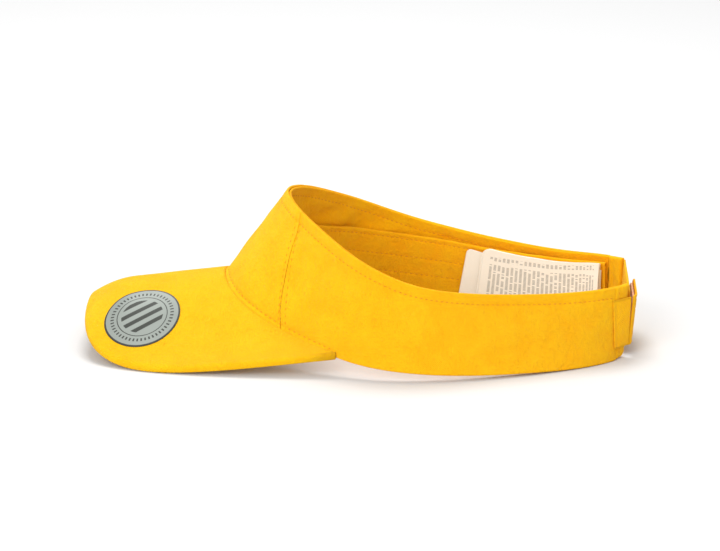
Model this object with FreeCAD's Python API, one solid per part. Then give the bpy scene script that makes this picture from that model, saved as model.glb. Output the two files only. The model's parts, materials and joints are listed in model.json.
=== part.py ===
"""Sun visor with a curved cloth-covered brim, an open-topped head band and a
hook-and-loop closure at the back.

Frame in millimetres: the wearer looks along -Y, +X is the wearer's left, +Z is
up, z = 0 is the surface the visor stands on.  Each piece is one closed solid,
written to parts/NODE.step.
"""
import FreeCAD
import Part
import math
import os

# ---- driving dimensions ----------------------------------------------------
# Edge lines of the band's outer face, centre front to the end of the left arm.
LOWER_EDGE = [
    (0.0, -69.0, 35.0), (18.8, -65.3, 31.4), (33.6, -54.2, 24.6), (45.2, -38.6, 17.8),
    (56.0, -22.0, 12.8), (65.3, -5.5, 8.8), (70.3, 13.4, 5.9), (70.9, 33.0, 4.1),
    (68.2, 52.3, 2.9), (63.0, 71.5, 2.0), (56.0, 90.3, 1.2), (47.0, 108.7, 0.5),
    (36.0, 124.0, 0.2), (24.0, 132.2, 0.1),
]
UPPER_EDGE = [
    (0.0, -37.2, 78.6), (16.9, -33.8, 76.8), (31.4, -25.9, 72.4), (44.0, -15.4, 66.4),
    (55.0, -3.5, 59.9), (61.5, 11.0, 53.1), (63.4, 27.2, 47.3), (61.0, 43.2, 43.6),
    (55.8, 59.0, 41.1), (50.0, 74.8, 39.3), (43.8, 91.0, 37.9), (38.2, 107.0, 37.2),
    (32.6, 122.0, 37.2), (24.0, 134.0, 37.6),
]
ARM_END = 13.0            # station of the arm's end
SEAM_LOW = 3.0            # front/side panel seam, station at the lower edge
SEAM_TOP = 1.65           # and at the upper edge
SEAM_GAP = 0.02           # half the seam's groove, in stations
HINGE_Y = 0.0             # plane across which an arm bends away from the front
HINGE_GAP = 0.25          # half the gap left there between two bodies
HEM_START = 12.35         # the end hem runs from here to the arm's end
HEM_GAP = 0.03

# Layer depths, inward from the band's outer face.
PANEL = (0.0, 1.0)
STIFFENER = (1.3, 1.9)
LINING = (2.2, 2.9)
HEM = (0.0, 2.9)
SWEAT_LOW = (3.3, 4.9)    # sweatband depth at its sewn lower edge
SWEAT_TOP = (4.6, 6.2)    # and at its free upper edge
SWEAT_HEIGHT = 35.0
LINING_RISE = 1.0         # inner layers start this far above the lower edge
HEM_RISE = 0.3
STIFFENER_INSET = 4.0

# Brim: a flat board bent over the forehead, pitched slightly down to the tip.
BRIM_CREST_Z = 36.72
BRIM_CREST_Y = -69.0
BRIM_PITCH = 0.12
BRIM_ARCH = 76.0          # x * x / BRIM_ARCH is the fall to the side
BRIM_FLATTEN = 13.6e-7    # times x to the fourth: flattens the outer sides
BRIM_HALF_WIDTH = 63.8
BRIM_HORN_Y = -10.9       # the horns end here, beside the band
BRIM_REACH = 127.9        # horn end to tip
BRIM_DROOP = 8.0          # how far the tip bends down below the straight crest line
DROOP_START = -114.8      # the bend starts here
DROOP_LENGTH = 24.0
DROOP_HALF_WIDTH = 36.0   # and fades out to the sides over this
BRIM_SQUARENESS = 3.74
BRIM_SEAM_GAP = 0.45
COVER = 0.8               # vertical thickness of each cloth cover
LAYER_GAP = 0.3
BOARD = 1.5
BRIM_RIM = 1.4            # the top cover is turned down round the edge
STICKER_D = 38.0
STICKER_X = 31.0
STICKER_Y = -108.5

# Closure: two cloth tabs that slide past each other along X.
TAB_LEAN = 0.064          # y per z, the slope of the band's rear
HOOK_LEAN = 0.09
LOOP_CLOTH_Y = (130.8, 131.8)
LOOP_TAPE_Y = (131.9, 132.9)
HOOK_TAPE_Y = (133.4, 134.4)
HOOK_CLOTH_Y = (134.5, 135.5)
LOOP_X = (-20.8, 18.0)
LOOP_Z = (1.0, 36.6)
LOOP_TAPE_X = (-18.5, 16.0)
LOOP_TAPE_Z = (6.0, 32.0)
HOOK_X = (-13.0, 23.0)
HOOK_Z = (5.5, 31.5)
HOOK_TAPE_X = (-11.0, 17.0)
HOOK_TAPE_Z = (7.5, 29.5)
TAB_CORNER = 8.0
ROOT_START = 12.25
ROOT_DEPTH = (-2.1, -0.6)
ROOT_Z_LOW = 6.0
ROOT_Z_TOP = 6.5

# Care label: three pages sewn along their rear edge inside the right arm.
LABEL_ROOT = 12.3
LABEL_PAGES = [
    ("label_page_back", 7.2, 7.6, 7.85, 3.0, 6.5),
    ("label_page_middle", 8.4, 8.8, 8.35, 3.0, 2.2),
    ("label_page_front", 9.6, 10.0, 8.4, 3.0, 1.6),
]
STAND_LIFT = 0.0          # puts the lowest point on z = 0
CENTRE_SHIFT = 0.23       # puts the origin midway between brim tip and hook tab
os.makedirs("parts", exist_ok=True)
V = FreeCAD.Vector


# ---- the band's reference surface --------------------------------------------
def edge_curve(stations):
    """Curve through the stations and their mirror images, parameter = station."""
    right = [V(-x, y, z) for x, y, z in reversed(stations[1:])]
    left = [V(x, y, z) for x, y, z in stations]
    count = len(stations) - 1
    curve = Part.BSplineCurve()
    curve.interpolate(Points=right + left,
                      Parameters=[float(k) for k in range(-count, count + 1)])
    return curve


LOWER = edge_curve(LOWER_EDGE)
UPPER = edge_curve(UPPER_EDGE)


def ruling(station):
    """Foot, unit direction and length of the band's slant line at a station."""
    foot = LOWER.value(station)
    line = UPPER.value(station) - foot
    return foot, line / line.Length, line.Length


def outward(station, height):
    """Unit normal of the outer face, pointing away from the head."""
    share = height / ruling(station)[2]
    step = 0.02
    lower = LOWER.value(station + step) - LOWER.value(station - step)
    upper = UPPER.value(station + step) - UPPER.value(station - step)
    along = lower * (1.0 - share) + upper * share
    normal = along.cross(ruling(station)[1])
    return normal / normal.Length


def band_point(station, height, depth):
    """Point at a height up the slant line and a depth inside the outer face."""
    foot, up, _ = ruling(station)
    return foot + up * height - outward(station, height) * depth


def crossing(height_of, depth, plane_y, low, high):
    """Station at which a layer passes through the plane y = plane_y."""
    for _ in range(40):
        middle = 0.5 * (low + high)
        if band_point(middle, height_of(middle), depth).y < plane_y:
            low = middle
        else:
            high = middle
    return 0.5 * (low + high)


# ---- solids ------------------------------------------------------------------
def interpolated(rows):
    """Smooth surface through a grid of points."""
    surface = Part.BSplineSurface()
    surface.interpolate(rows)
    return surface


def slab(outer_rows, inner_rows):
    """Closed solid between two grids of points."""
    outer = interpolated(outer_rows)
    inner = interpolated(inner_rows)
    faces = [outer.toShape(), inner.toShape()]
    sides = []
    for surface in (outer, inner):
        u0, u1, v0, v1 = surface.bounds()
        sides.append([surface.uIso(u0), surface.uIso(u1), surface.vIso(v0), surface.vIso(v1)])
    for first, second in zip(sides[0], sides[1]):
        faces.append(Part.makeRuledSurface(first.toShape(), second.toShape()))
    shell = Part.makeShell(faces)
    shell.sewShape()
    solid = Part.makeSolid(shell)
    if solid.Volume < 0:
        solid.reverse()
    return solid


def inset(value, station):
    """An inset given as a number or as a function of the station."""
    return value(station) if callable(value) else value


def slant_height(station, share, low, top):
    """Height up the slant line at a share of the way between the two insets."""
    return low + (ruling(station)[2] - low - inset(top, station)) * share


def layer(start, end, top_depths, low=0.0, top=0.0, low_depths=None, rows=15, side=1):
    """Band layer between two boundaries, each a function of share and depth.

    low and top are insets along the slant line from the lower and the upper
    edge.  low_depths gives a second depth pair at the lower edge, for a layer
    that leans away from the band.  side -1 makes the mirror image.
    """
    low_depths = low_depths or top_depths
    grids = []
    for index in (0, 1):
        grid = []
        for i in range(rows):
            column = []
            for share in (0.0, 0.34, 0.67, 1.0):
                depth = low_depths[index] * (1 - share) + top_depths[index] * share
                first = start(share, depth)
                last = end(share, depth)
                station = first + (last - first) * i / (rows - 1)
                point = band_point(station, slant_height(station, share, low, top), depth)
                column.append(V(side * point.x, point.y, point.z))
            grid.append(column)
        grids.append(grid)
    return slab(grids[0], grids[1])


def at(station):
    """Boundary at one station all the way up."""
    return lambda share, depth: station


def seam(offset):
    """Boundary along the front/side panel seam, shifted by part of a station."""
    return lambda share, depth: SEAM_LOW + (SEAM_TOP - SEAM_LOW) * share + offset


def hinge(offset, low=0.0, top=0.0):
    """Boundary along the plane across which the arm bends."""
    def station(share, depth):
        return crossing(lambda k: slant_height(k, share, low, top), depth,
                        HINGE_Y + offset, 3.0, 9.0)
    return station


def negative(boundary):
    """The same boundary on the wearer's right."""
    return lambda share, depth: -boundary(share, depth)


def write(node, shape):
    """Check a solid and write it under its node name."""
    shape = shape.translated(V(0, CENTRE_SHIFT, STAND_LIFT))
    solids = shape.Solids
    if len(solids) != 1 or not shape.isValid():
        print("CHECK", node, len(solids), shape.isValid())
    solids[0].exportStep("parts/" + node + ".step")
    box = solids[0].BoundBox
    print(node, round(solids[0].Volume, 1), [round(v, 2) for v in (
        box.XMin, box.XMax, box.YMin, box.YMax, box.ZMin, box.ZMax)])


def sweat_inset(station):
    """Distance of the sweatband's free edge below the band's upper edge."""
    return max(2.5, ruling(station)[2] - SWEAT_HEIGHT - LINING_RISE)


def sweatband(start, end, rows, side=1):
    """Sweatband strip: sewn along the bottom, its free edge stands off."""
    return layer(start, end, SWEAT_TOP, LINING_RISE, sweat_inset, SWEAT_LOW, rows, side)


def build_front():
    """Front panel with its stiffener, lining and sweatband."""
    edge = seam(-SEAM_GAP)
    write("front_panel", layer(negative(edge), edge, PANEL, rows=19))
    edge = seam(-0.15)
    write("front_stiffener", layer(negative(edge), edge, STIFFENER, STIFFENER_INSET,
                                   STIFFENER_INSET, rows=19))
    edge = hinge(-HINGE_GAP, LINING_RISE)
    write("front_lining", layer(negative(edge), edge, LINING, LINING_RISE, rows=27))
    edge = hinge(-HINGE_GAP, LINING_RISE, sweat_inset)
    write("sweatband_front", sweatband(negative(edge), edge, 27))


def build_arm(name, side):
    """One side of the band: fixed fore part, then the arm that bends."""
    fore = layer(seam(SEAM_GAP), hinge(-HINGE_GAP), PANEL, rows=11, side=side)
    write("side_panel_%s_fore" % name, fore)
    hem = at(HEM_START - HEM_GAP)
    panel = layer(hinge(HINGE_GAP), hem, PANEL, rows=19, side=side)
    write("side_panel_" + name, panel)
    lining = layer(hinge(HINGE_GAP, LINING_RISE), hem, LINING, LINING_RISE, rows=19, side=side)
    write("side_lining_" + name, lining)
    strip = sweatband(hinge(HINGE_GAP, LINING_RISE, sweat_inset), hem, 19, side)
    write("sweatband_" + name, strip)
    write("end_hem_" + name, layer(at(HEM_START), at(ARM_END), HEM, HEM_RISE, rows=7, side=side))


# ---- brim --------------------------------------------------------------------
def brim_fall(x):
    """Drop of the brim's surface below its crest line."""
    return x * x / BRIM_ARCH - BRIM_FLATTEN * x ** 4


def brim_droop(x, y):
    """Extra drop of the surface near the tip."""
    bend = max(DROOP_START - y, 0.0) / DROOP_LENGTH
    return BRIM_DROOP * bend * bend * math.exp(-(x / DROOP_HALF_WIDTH) ** 2)


def brim_sheet(top, thickness):
    """Arched sheet wider than the brim, top measured from the brim's surface."""
    xs = [-70.0 + 5.0 * i for i in range(29)]
    ys = [-146.0 + 4.5 * i for i in range(12)] + [-90.0 + 10.0 * i for i in range(11)]
    grids = []
    for drop in (0.0, thickness):
        level = BRIM_CREST_Z + top - drop
        grids.append([[V(x, y, level + BRIM_PITCH * (y - BRIM_CREST_Y) - brim_fall(x)
                         - brim_droop(x, y)) for x in xs] for y in ys])
    return slab(grids[0], grids[1])


def front_outline(inset):
    """Points of the brim's free edge, left horn to right horn."""
    half = BRIM_HALF_WIDTH - inset
    reach = BRIM_REACH - inset
    power = 2.0 / BRIM_SQUARENESS
    points = []
    for i in range(-20, 21):
        angle = math.pi / 2 * (1 - abs(i / 20.0) ** 1.35)
        x = half * math.cos(angle) ** power if abs(i) else 0.0
        y = BRIM_HORN_Y - reach * math.sin(angle) ** power
        points.append(V(math.copysign(x, -i), y, -20.0))
    return points


def seam_outline():
    """Points just outside the band's lower edge, right horn to left horn."""
    horn = crossing(lambda s: 0.0, -BRIM_SEAM_GAP, BRIM_HORN_Y, 3.0, 6.0)
    points = []
    for i in range(-12, 13):
        point = band_point(horn * i / 12.0, 0.0, -BRIM_SEAM_GAP)
        points.append(V(point.x, point.y, -20.0))
    return points


def column(first, second):
    """Tall solid inside a loop of two smooth curves."""
    edges = []
    for points in (first, second):
        curve = Part.BSplineCurve()
        curve.interpolate(points)
        edges.append(curve.toShape())
    ends = [(first[-1], second[0]), (second[-1], first[0])]
    for start, stop in ends:
        if (start - stop).Length > 1e-6:
            edges.append(Part.makeLine(start, stop))
    return Part.Face(Part.Wire(Part.__sortEdges__(edges))).extrude(V(0, 0, 100))


def inset_column(inset):
    """Tall solid inside the free edge moved in, open towards the band."""
    points = front_outline(inset)
    first = points[0]
    last = points[-1]
    curve = Part.BSplineCurve()
    curve.interpolate(points)
    corners = [last, V(last.x, 30, -20), V(first.x, 30, -20), first]
    edges = [curve.toShape()]
    for start, stop in zip(corners[:-1], corners[1:]):
        edges.append(Part.makeLine(start, stop))
    return Part.Face(Part.Wire(Part.__sortEdges__(edges))).extrude(V(0, 0, 100))


def build_brim():
    """Brim board, its two cloth covers and the round foil sticker."""
    plan = column(front_outline(0.0), seam_outline())
    total = 2 * COVER + 2 * LAYER_GAP + BOARD
    shell = brim_sheet(0.0, total).common(plan)
    hollow = brim_sheet(-COVER, total + 5.0).common(inset_column(BRIM_RIM))
    write("brim_top_cover", shell.cut(hollow))
    inner = inset_column(BRIM_RIM + LAYER_GAP).common(plan)
    board_top = -COVER - LAYER_GAP
    write("brim_board", brim_sheet(board_top, BOARD).common(inner))
    under_top = board_top - BOARD - LAYER_GAP
    write("brim_under_cover", brim_sheet(under_top, COVER).common(inner))
    slope = (brim_fall(STICKER_X + 1) - brim_fall(STICKER_X - 1)) / 2
    disc = Part.Ellipse(V(0, 0, 0), STICKER_D / 2, STICKER_D / 2 / math.hypot(1, slope))
    face = Part.Face(Part.Wire([disc.toShape()]))
    face.rotate(V(0, 0, 0), V(0, 0, 1), 90)
    rod = face.extrude(V(0, 0, 100)).translated(V(STICKER_X, STICKER_Y, -20))
    write("brim_sticker", brim_sheet(0.4, 0.3).common(rod))


# ---- closure -----------------------------------------------------------------
def leaning(plan, z_range, lean):
    """Solid over a plan polygon, sheared so that it leans back as it rises."""
    wires = []
    for z in z_range:
        points = [V(x, y + lean * z, z) for x, y in plan]
        wires.append(Part.makePolygon(points + points[:1]))
    return Part.makeLoft(wires, True, True)


def rounded_end(solid, z_range, end_x, inner_x, radius):
    """Cut two round corners at a tab's free end."""
    low, top = z_range
    toward = 1 if inner_x > end_x else -1
    for z, up in ((low, 1), (top, -1)):
        block = Part.makeBox(radius, 40, radius)
        block.translate(V(min(end_x, end_x + toward * radius), 115, z if up > 0 else z - radius))
        rod = Part.makeCylinder(radius, 40, V(end_x + toward * radius, 115, z + up * radius),
                                V(0, 1, 0))
        solid = solid.cut(block.cut(rod))
    return solid


def box_plan(x_range, y_range):
    """Plan rectangle."""
    return [(x_range[0], y_range[0]), (x_range[1], y_range[0]),
            (x_range[1], y_range[1]), (x_range[0], y_range[1])]


def build_closure():
    """Loop tab on the right arm, hook tab on the left arm."""
    cloth = leaning(box_plan(LOOP_X, LOOP_CLOTH_Y), LOOP_Z, TAB_LEAN)
    write("loop_tab_cloth", rounded_end(cloth, LOOP_Z, LOOP_X[1], LOOP_X[0], 4.0))
    write("loop_tape", leaning(box_plan(LOOP_TAPE_X, LOOP_TAPE_Y), LOOP_TAPE_Z, TAB_LEAN))
    bend = HOOK_X[1] - 4.5
    step = 1.5
    plan = [(HOOK_X[0], HOOK_CLOTH_Y[0]), (bend, HOOK_CLOTH_Y[0]),
            (HOOK_X[1], HOOK_CLOTH_Y[0] - step), (HOOK_X[1], HOOK_CLOTH_Y[1] - step),
            (bend, HOOK_CLOTH_Y[1]), (HOOK_X[0], HOOK_CLOTH_Y[1])]
    cloth = leaning(plan, HOOK_Z, HOOK_LEAN)
    write("hook_tab_cloth", rounded_end(cloth, HOOK_Z, HOOK_X[0], HOOK_X[1], TAB_CORNER))
    tape = leaning(box_plan(HOOK_TAPE_X, HOOK_TAPE_Y), HOOK_TAPE_Z, HOOK_LEAN)
    write("hook_tape", rounded_end(tape, HOOK_TAPE_Z, HOOK_TAPE_X[0], HOOK_TAPE_X[1], 6.0))
    root = layer(at(ROOT_START), at(ARM_END), ROOT_DEPTH, ROOT_Z_LOW, ROOT_Z_TOP, rows=7)
    write("hook_tab_root", root)


def build_label():
    """Pages of the care label, inside the right arm."""
    for node, near, far, end, low, top in LABEL_PAGES:
        page = layer(at(end), at(LABEL_ROOT), (near, far), low, top, rows=11, side=-1)
        write(node, page)


build_brim()
build_front()
build_arm("left", 1)
build_arm("right", -1)
build_closure()
build_label()
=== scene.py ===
"""Sun visor in sewn cotton: arched brim, open-topped head band, closure tabs.

Every piece of cloth is laid on the frame's own surfaces, in metres.  The wearer
looks along -Y, +X is the wearer's left, and z = 0 is the surface it stands on.
"""
from __future__ import annotations

import json
import logging
import math
from bisect import bisect_right
from dataclasses import dataclass, field
from enum import Enum
from typing import Callable, Sequence

import bmesh
import bpy
from mathutils import Matrix, Vector, noise

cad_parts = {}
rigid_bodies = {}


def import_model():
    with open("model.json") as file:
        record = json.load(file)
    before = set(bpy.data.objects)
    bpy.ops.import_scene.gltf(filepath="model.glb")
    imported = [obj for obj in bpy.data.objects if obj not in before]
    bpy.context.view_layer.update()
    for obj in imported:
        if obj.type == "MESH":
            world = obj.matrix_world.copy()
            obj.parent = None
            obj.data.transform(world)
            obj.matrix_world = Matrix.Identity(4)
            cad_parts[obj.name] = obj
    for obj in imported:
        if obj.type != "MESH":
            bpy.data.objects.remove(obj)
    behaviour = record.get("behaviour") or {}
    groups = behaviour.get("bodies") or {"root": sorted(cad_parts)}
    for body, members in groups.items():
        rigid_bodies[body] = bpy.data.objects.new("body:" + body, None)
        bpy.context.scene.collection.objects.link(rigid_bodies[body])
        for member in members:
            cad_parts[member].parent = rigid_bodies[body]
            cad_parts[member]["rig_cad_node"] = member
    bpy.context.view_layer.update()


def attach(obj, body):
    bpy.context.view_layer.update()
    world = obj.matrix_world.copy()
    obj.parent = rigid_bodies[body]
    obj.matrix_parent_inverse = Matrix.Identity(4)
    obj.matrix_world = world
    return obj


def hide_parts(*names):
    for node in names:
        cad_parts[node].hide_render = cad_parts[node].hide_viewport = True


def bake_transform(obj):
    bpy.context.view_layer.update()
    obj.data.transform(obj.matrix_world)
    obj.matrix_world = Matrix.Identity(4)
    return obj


log = logging.getLogger("visor")

MM = 0.001
FOLD_STEPS = 6
WEAVE = "weave"
CENTRE_SHIFT = 0.23
MID_LENGTH = 42.0
THREAD_LIFT = 0.06
CLOTH_WALL = 0.45
Boundary = Callable[[float], float]
Place = Callable[[float, float], Vector]
ThreadLine = Callable[[float], tuple[Vector, Vector]]


class Side(Enum):
    """Which side of the wearer a piece is on; the value is the sign of x."""

    LEFT = 1
    RIGHT = -1

    @property
    def word(self) -> str:
        """The side's name in lower case, as the frame's nodes spell it."""
        return self.name.lower()


# ---- the band's and the brim's reference surfaces -----------------------------
class EdgeLine:
    """Smooth line through the stations of one band edge and their mirror images."""

    def __init__(self, stations: Sequence[tuple[float, float, float]]) -> None:
        """Keep the stations and work out the line's slope at each.

        Args:
            stations: points in millimetres from centre front to the left arm's end.
        """
        mirrored = [Vector((-x, y, z)) for x, y, z in reversed(stations[1:])]
        self.knots = mirrored + [Vector(s) for s in stations]
        self.reach = len(stations) - 1
        self.slopes = self._slopes()
        self._known: dict[float, Vector] = {}

    def _slopes(self) -> list[Vector]:
        """Slopes that make the line's curvature continuous.

        Returns:
            One slope per knot, in millimetres per station.
        """
        p = self.knots
        last = (3 * p[-1] - 4 * p[-2] + p[-3]) / 2
        first = -(3 * p[0] - 4 * p[1] + p[2]) / 2
        share = [0.0]
        value = [first]
        for i in range(1, len(p) - 1):
            weight = 1.0 / (4.0 - share[-1])
            value.append((3 * (p[i + 1] - p[i - 1]) - value[-1]) * weight)
            share.append(weight)
        slopes = [last]
        for i in range(len(p) - 2, 0, -1):
            slopes.append(value[i] - share[i] * slopes[-1])
        slopes.append(first)
        return slopes[::-1]

    def at(self, station: float) -> Vector:
        """Point of the line.

        Args:
            station: 0 at centre front, positive towards the wearer's left.

        Returns:
            The point in millimetres.
        """
        known = self._known.get(station)
        if known is not None:
            return known
        along = station + self.reach
        i = min(max(int(math.floor(along)), 0), len(self.knots) - 2)
        t = along - i
        a, b = self.knots[i], self.knots[i + 1]
        ta, tb = self.slopes[i], self.slopes[i + 1]
        point = (a * (2 * t**3 - 3 * t**2 + 1) + ta * (t**3 - 2 * t**2 + t)
                 + b * (3 * t**2 - 2 * t**3) + tb * (t**3 - t**2))
        self._known[station] = point
        return point


@dataclass
class BandSurface:
    """Outer face of the head band, straight from its lower to its upper edge."""

    lower: EdgeLine = field(default_factory=lambda: EdgeLine((
        (0.0, -69.0, 35.0), (18.8, -65.3, 31.4), (33.6, -54.2, 24.6),
        (45.2, -38.6, 17.8), (56.0, -22.0, 12.8), (65.3, -5.5, 8.8),
        (70.3, 13.4, 5.9), (70.9, 33.0, 4.1), (68.2, 52.3, 2.9),
        (63.0, 71.5, 2.0), (56.0, 90.3, 1.2), (47.0, 108.7, 0.5),
        (36.0, 124.0, 0.2), (24.0, 132.2, 0.1))))
    upper: EdgeLine = field(default_factory=lambda: EdgeLine((
        (0.0, -37.2, 78.6), (16.9, -33.8, 76.8), (31.4, -25.9, 72.4),
        (44.0, -15.4, 66.4), (55.0, -3.5, 59.9), (61.5, 11.0, 53.1),
        (63.4, 27.2, 47.3), (61.0, 43.2, 43.6), (55.8, 59.0, 41.1),
        (50.0, 74.8, 39.3), (43.8, 91.0, 37.9), (38.2, 107.0, 37.2),
        (32.6, 122.0, 37.2), (24.0, 134.0, 37.6))))
    arm_end: float = 13.0
    hem_start: float = 12.35
    seam_low: float = 3.0
    seam_top: float = 1.65

    def __post_init__(self) -> None:
        """Measure the band's length from centre front along its middle."""
        marks = [0.1 * i for i in range(131)]
        middle = [(self.lower.at(s) + self.upper.at(s)) / 2 for s in marks]
        self._marks = marks
        self._lengths = [0.0]
        for a, b in zip(middle, middle[1:]):
            self._lengths.append(self._lengths[-1] + (b - a).length)

    def ruling(self, station: float) -> tuple[Vector, Vector, float]:
        """Foot, unit direction and length of the slant line at a station.

        Args:
            station: place round the band.

        Returns:
            The foot and the length in millimetres, and the direction.
        """
        foot = self.lower.at(station)
        line = self.upper.at(station) - foot
        return foot, line.normalized(), line.length

    def outward(self, station: float, height: float) -> Vector:
        """Unit normal of the outer face, away from the head.

        Args:
            station: place round the band.
            height: distance up the slant line, in millimetres.

        Returns:
            The direction.
        """
        step = 0.02
        _, up, length = self.ruling(station)
        share = height / length
        low = self.lower.at(station + step) - self.lower.at(station - step)
        top = self.upper.at(station + step) - self.upper.at(station - step)
        return (low * (1 - share) + top * share).cross(up).normalized()

    def point(self, station: float, height: float, depth: float) -> Vector:
        """Point of the band.

        Args:
            station: place round the band.
            height: distance up the slant line, in millimetres.
            depth: distance inside the outer face, in millimetres.

        Returns:
            The point in metres in the frame.
        """
        foot, up, _ = self.ruling(station)
        place = foot + up * height - self.outward(station, height) * depth
        return Vector((place.x, place.y + CENTRE_SHIFT, place.z)) * MM

    def thread_spot(self, station: float, height: float, depth: float,
                    facing: int = 1) -> tuple[Vector, Vector]:
        """Where a thread lies on the band.

        Args:
            station: place round the band.
            height: distance up the slant line, in millimetres.
            depth: distance inside the outer face, in millimetres.
            facing: 1 on an outer face, -1 on an inner one.

        Returns:
            The point in metres and the direction that the cloth faces.
        """
        return (self.point(station, height, depth),
                self.outward(station, height) * facing)

    def along(self, station: float) -> float:
        """Signed length in millimetres from centre front to a station."""
        s = min(abs(station), self._marks[-1])
        i = min(bisect_right(self._marks, s) - 1, len(self._marks) - 2)
        part = (s - self._marks[i]) / (self._marks[i + 1] - self._marks[i])
        length = self._lengths[i] * (1 - part) + self._lengths[i + 1] * part
        return math.copysign(length, station)

    def seam(self, share: float) -> float:
        """Station of the front seam at a share of the height."""
        return self.seam_low + (self.seam_top - self.seam_low) * share


@dataclass(frozen=True)
class BrimSurface:
    """Top face of the brim: a flat board bent over the forehead."""

    crest_z: float = 36.72
    crest_y: float = -69.0
    pitch: float = 0.12
    arch: float = 76.0
    flatten: float = 13.6e-7
    half_width: float = 63.8
    horn_y: float = -10.9
    reach: float = 127.9
    squareness: float = 3.74
    thickness: float = 3.7
    droop: float = 8.0
    droop_start: float = -114.8
    droop_length: float = 24.0
    droop_half_width: float = 36.0

    def fall(self, x: float) -> float:
        """Drop below the crest line at a distance to the side."""
        return x * x / self.arch - self.flatten * x**4

    def top(self, x: float, y: float) -> float:
        """Height of the top face over a point of the plan."""
        bend = max(self.droop_start - y, 0.0) / self.droop_length
        tip = self.droop * bend * bend * math.exp(-(x / self.droop_half_width) ** 2)
        return self.crest_z + self.pitch * (y - self.crest_y) - self.fall(x) - tip

    def outline(self, turn: float, inset: float) -> tuple[float, float]:
        """Point of the free edge's plan.

        Args:
            turn: -1 at the right horn, 0 at the tip, 1 at the left horn.
            inset: distance inside the edge, in millimetres.

        Returns:
            x and y in millimetres.
        """
        angle = math.pi / 2 * (1 - abs(turn) ** 1.35)
        power = 2.0 / self.squareness
        x = (self.half_width - inset) * max(math.cos(angle), 0.0) ** power
        y = self.horn_y - (self.reach - inset) * max(math.sin(angle), 0.0) ** power
        return math.copysign(x, turn) if abs(turn) > 1e-9 else 0.0, y

    def point(self, x: float, y: float, drop: float) -> Vector:
        """Point below the top face, in metres in the frame."""
        return Vector((x, y + CENTRE_SHIFT, self.top(x, y) - drop)) * MM


# ---- finishes -----------------------------------------------------------------
class Nodes:
    """Short names for the shader nodes that the finishes share."""

    def __init__(self, name: str) -> None:
        """Start an empty material with a surface shader.

        Args:
            name: the material's name.
        """
        self.material = bpy.data.materials.new(name)
        self.material.use_nodes = True
        self.tree = self.material.node_tree
        self.shader = self.tree.nodes["Principled BSDF"]

    def add(self, kind: str, **values: object) -> bpy.types.Node:
        """Add a node and set its plain properties."""
        node = self.tree.nodes.new(kind)
        for key, value in values.items():
            setattr(node, key, value)
        return node

    def link(self, source: object, target: object) -> None:
        """Join an output to an input."""
        self.tree.links.new(source, target)

    def value(self, operation: str, *terms: object) -> object:
        """Arithmetic on numbers and outputs.

        Args:
            operation: name of the sum.
            terms: numbers or node outputs.

        Returns:
            The result's output.
        """
        node = self.add("ShaderNodeMath", operation=operation)
        for socket, term in zip(node.inputs, terms):
            if isinstance(term, (int, float)):
                socket.default_value = term
            else:
                self.link(term, socket)
        return node.outputs[0]

    def cloth_axes(self) -> tuple[object, object]:
        """Distances along and across the cloth, in metres."""
        flat = self.add("ShaderNodeUVMap", uv_map=WEAVE)
        split = self.add("ShaderNodeSeparateXYZ")
        self.link(flat.outputs["UV"], split.inputs[0])
        return split.outputs["X"], split.outputs["Y"]

    def clouds(self, size: float, detail: float = 3.0, rough: float = 0.5) -> object:
        """Soft noise over the object, with spots of a given size in metres."""
        where = self.add("ShaderNodeTexCoord")
        spots = self.add("ShaderNodeTexNoise")
        self.link(where.outputs["Object"], spots.inputs["Vector"])
        spots.inputs["Scale"].default_value = 1.0 / size
        spots.inputs["Detail"].default_value = detail
        spots.inputs["Roughness"].default_value = rough
        return spots.outputs["Fac"]

    def blend(self, share: object, first: object, second: object) -> object:
        """Mix two colours.

        Args:
            share: a number or an output, 0 for the first colour.
            first: an RGB tuple or a colour output.
            second: an RGB tuple or a colour output.

        Returns:
            The mixed colour's output.
        """
        node = self.add("ShaderNodeMix", data_type="RGBA")
        for socket, term in zip((node.inputs[0], node.inputs[6], node.inputs[7]),
                                (share, first, second)):
            if isinstance(term, tuple):
                socket.default_value = (*term, 1.0)
            elif isinstance(term, (int, float)):
                socket.default_value = term
            else:
                self.link(term, socket)
        return node.outputs[2]

    def bump(self, height: object, strength: float, distance: float,
             under: object = None) -> object:
        """Raise the surface by a height output.

        Args:
            height: the height's output.
            strength: share of the effect.
            distance: height of the relief in metres.
            under: another relief's output that this one lies on.

        Returns:
            The normal's output.
        """
        node = self.add("ShaderNodeBump")
        node.inputs["Strength"].default_value = strength
        node.inputs["Distance"].default_value = distance
        self.link(height, node.inputs["Height"])
        if under is not None:
            self.link(under, node.inputs["Normal"])
        return node.outputs["Normal"]

    def dress(self, colour: object, normal: object, roughness: float,
              sheen: float = 0.0) -> bpy.types.Material:
        """Join colour and relief to the shader and set its plain numbers."""
        if isinstance(colour, tuple):
            self.shader.inputs["Base Color"].default_value = (*colour, 1.0)
        else:
            self.link(colour, self.shader.inputs["Base Color"])
        if normal is not None:
            self.link(normal, self.shader.inputs["Normal"])
        self.shader.inputs["Roughness"].default_value = roughness
        self.shader.inputs["Sheen Weight"].default_value = sheen
        self.shader.inputs["Sheen Roughness"].default_value = 0.45
        self.shader.inputs["Specular IOR Level"].default_value = 0.12
        return self.material


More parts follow.
